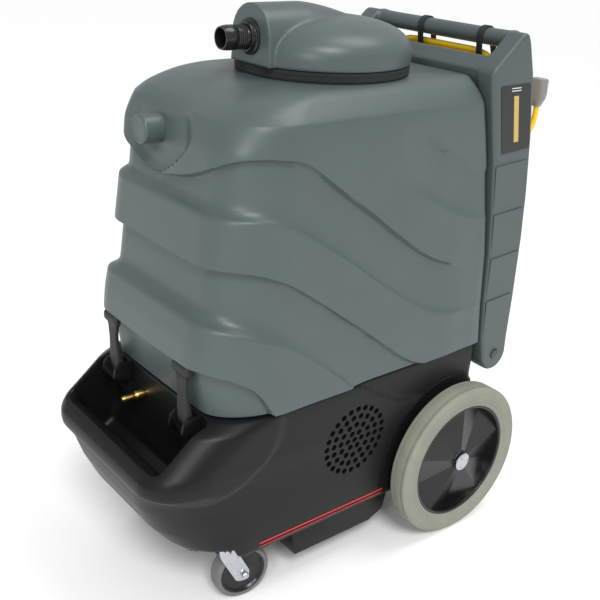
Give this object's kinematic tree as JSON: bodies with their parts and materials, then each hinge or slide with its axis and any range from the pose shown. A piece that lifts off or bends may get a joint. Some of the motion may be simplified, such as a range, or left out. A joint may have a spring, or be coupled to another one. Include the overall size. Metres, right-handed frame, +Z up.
{
  "type": "carpet extractor",
  "caption": "Portable box carpet extractor: moulded tank and handle frame that tilt back on a wheeled base, with a domed vacuum lid and hose cuff.",
  "frame": {"origin": "on the floor, under the middle of the machine", "axes": "+Z up; the front with the carry bar, latches and hose cuff faces -Y; the push bar and cord are on the +Y side; +X across the machine"},
  "size_m": [0.488, 0.854, 0.98],
  "materials": {
    "tank_grey": "moulded, satin",
    "frame_grey": "moulded, satin",
    "base_black": "moulded, satin",
    "tyre_grey": "solid rubber",
    "wheel_black": "semi-gloss",
    "caster_grey": "matt",
    "zinc": "bright zinc plate",
    "steel": "satin",
    "brass": "turned",
    "rubber_black": "matt",
    "foam_black": "foam gasket",
    "gloss_black": "semi-gloss",
    "label_black": "printed film",
    "rocker_red": "gloss",
    "gauge_white": "gloss dial",
    "pipe_white": "pipe",
    "hose_grey": "hose",
    "pump_blue": "painted",
    "cord_yellow": "jacket",
    "plug_clear": "clear moulding",
    "motor_metal": "cast",
    "box_grey": "moulded box"
  },
  "bodies": {
    "base": {"base_shell": "base_black", "belly_pan": "base_black", "rear_axle": "steel", "axle_cap_left": "zinc", "axle_cap_right": "zinc", "caster_plate_left": "zinc", "caster_plate_right": "zinc", "solution_nipple": "brass", "latch_bracket_left": "base_black", "latch_bracket_right": "base_black", "pivot_bolt_left": "steel", "pivot_bolt_right": "steel", "vacuum_motor_1": "motor_metal", "vacuum_motor_2": "motor_metal", "solution_pump": "pump_blue", "pump_hose": "hose_grey", "vacuum_duct": "hose_grey", "electrical_box": "box_grey"},
    "tank": {"tank_shell": "tank_grey", "standpipe": "pipe_white", "float_cage": "hose_grey", "float_ball": "pipe_white", "handle_frame": "frame_grey", "side_label_left": "label_black", "side_label_right": "label_black", "switch_plate": "gloss_black", "pressure_gauge": "gauge_white", "drain_valve": "gloss_black", "cord_gland": "rubber_black", "power_cord": "cord_yellow", "cord_coil": "cord_yellow", "cord_tail": "cord_yellow", "cord_strap_left": "rubber_black", "cord_strap_right": "rubber_black", "power_plug": "plug_clear"},
    "lid": {"dome_lid": "tank_grey", "lid_gasket": "foam_black", "hose_cuff": "gloss_black", "cuff_nut": "gloss_black"},
    "wheel_left": {"tyre_left": "tyre_grey", "wheel_left": "wheel_black"},
    "wheel_right": {"tyre_right": "tyre_grey", "wheel_right": "wheel_black"},
    "caster_swivel_left": {"caster_fork_left": "zinc", "caster_bolt_left": "zinc"},
    "caster_roller_left": {"caster_wheel_left": "wheel_black", "caster_tread_left": "caster_grey"},
    "caster_swivel_right": {"caster_fork_right": "zinc", "caster_bolt_right": "zinc"},
    "caster_roller_right": {"caster_wheel_right": "wheel_black", "caster_tread_right": "caster_grey"},
    "latch_left": {"latch_strap_left": "rubber_black"},
    "latch_right": {"latch_strap_right": "rubber_black"},
    "rocker_1": {"rocker_1": "rocker_red"},
    "rocker_2": {"rocker_2": "rocker_red"},
    "rocker_3": {"rocker_3": "rocker_red"},
    "drain_lever": {"drain_lever": "rocker_red"},
    "pressure_knob": {"pressure_knob": "gloss_black"}
  },
  "joints": [
    {"name": "tank_tilt", "type": "hinge", "parent": "base", "child": "tank", "pos_m": [0, 0.355, 0.338], "axis": [-1, 0, 0], "range_deg": [0, 65]},
    {"name": "lid_lift", "type": "slide", "parent": "tank", "child": "lid", "axis": [0, 0, 1], "range_m": [0, 0.12]},
    {"name": "wheel_roll_left", "type": "hinge", "parent": "base", "child": "wheel_left", "pos_m": [-0.218, 0.25, 0.1524], "axis": [1, 0, 0], "continuous": true},
    {"name": "wheel_roll_right", "type": "hinge", "parent": "base", "child": "wheel_right", "pos_m": [0.218, 0.25, 0.1524], "axis": [1, 0, 0], "continuous": true},
    {"name": "caster_turn_left", "type": "hinge", "parent": "base", "child": "caster_swivel_left", "pos_m": [-0.14227, -0.23567, 0.121], "axis": [0, 0, 1], "continuous": true},
    {"name": "caster_roll_left", "type": "hinge", "parent": "caster_swivel_left", "child": "caster_roller_left", "pos_m": [-0.147, -0.202, 0.0508], "axis": [0.9903, 0.1392, 0], "continuous": true},
    {"name": "caster_turn_right", "type": "hinge", "parent": "base", "child": "caster_swivel_right", "pos_m": [0.14227, -0.23567, 0.121], "axis": [0, 0, 1], "continuous": true},
    {"name": "caster_roll_right", "type": "hinge", "parent": "caster_swivel_right", "child": "caster_roller_right", "pos_m": [0.147, -0.202, 0.0508], "axis": [0.9903, -0.1392, 0], "continuous": true},
    {"name": "latch_swing_left", "type": "hinge", "parent": "base", "child": "latch_left", "pos_m": [-0.112, -0.292, 0.366], "axis": [1, 0, 0], "range_deg": [0, 110]},
    {"name": "latch_swing_right", "type": "hinge", "parent": "base", "child": "latch_right", "pos_m": [0.112, -0.292, 0.366], "axis": [1, 0, 0], "range_deg": [0, 110]},
    {"name": "rocker_press_1", "type": "hinge", "parent": "tank", "child": "rocker_1", "pos_m": [-0.055, 0.3347, 0.5], "axis": [1, 0, 0], "range_deg": [-12, 0]},
    {"name": "rocker_press_2", "type": "hinge", "parent": "tank", "child": "rocker_2", "pos_m": [0, 0.3347, 0.5], "axis": [1, 0, 0], "range_deg": [-12, 0]},
    {"name": "rocker_press_3", "type": "hinge", "parent": "tank", "child": "rocker_3", "pos_m": [0.055, 0.3347, 0.5], "axis": [1, 0, 0], "range_deg": [-12, 0]},
    {"name": "drain_turn", "type": "hinge", "parent": "tank", "child": "drain_lever", "pos_m": [0.1, 0.3505, 0.4563], "axis": [0, 0, 1], "range_deg": [0, 90]},
    {"name": "knob_turn", "type": "hinge", "parent": "tank", "child": "pressure_knob", "pos_m": [-0.045, 0.3455, 0.564], "axis": [0, 1, 0], "range_deg": [0, 270]}
  ]
}
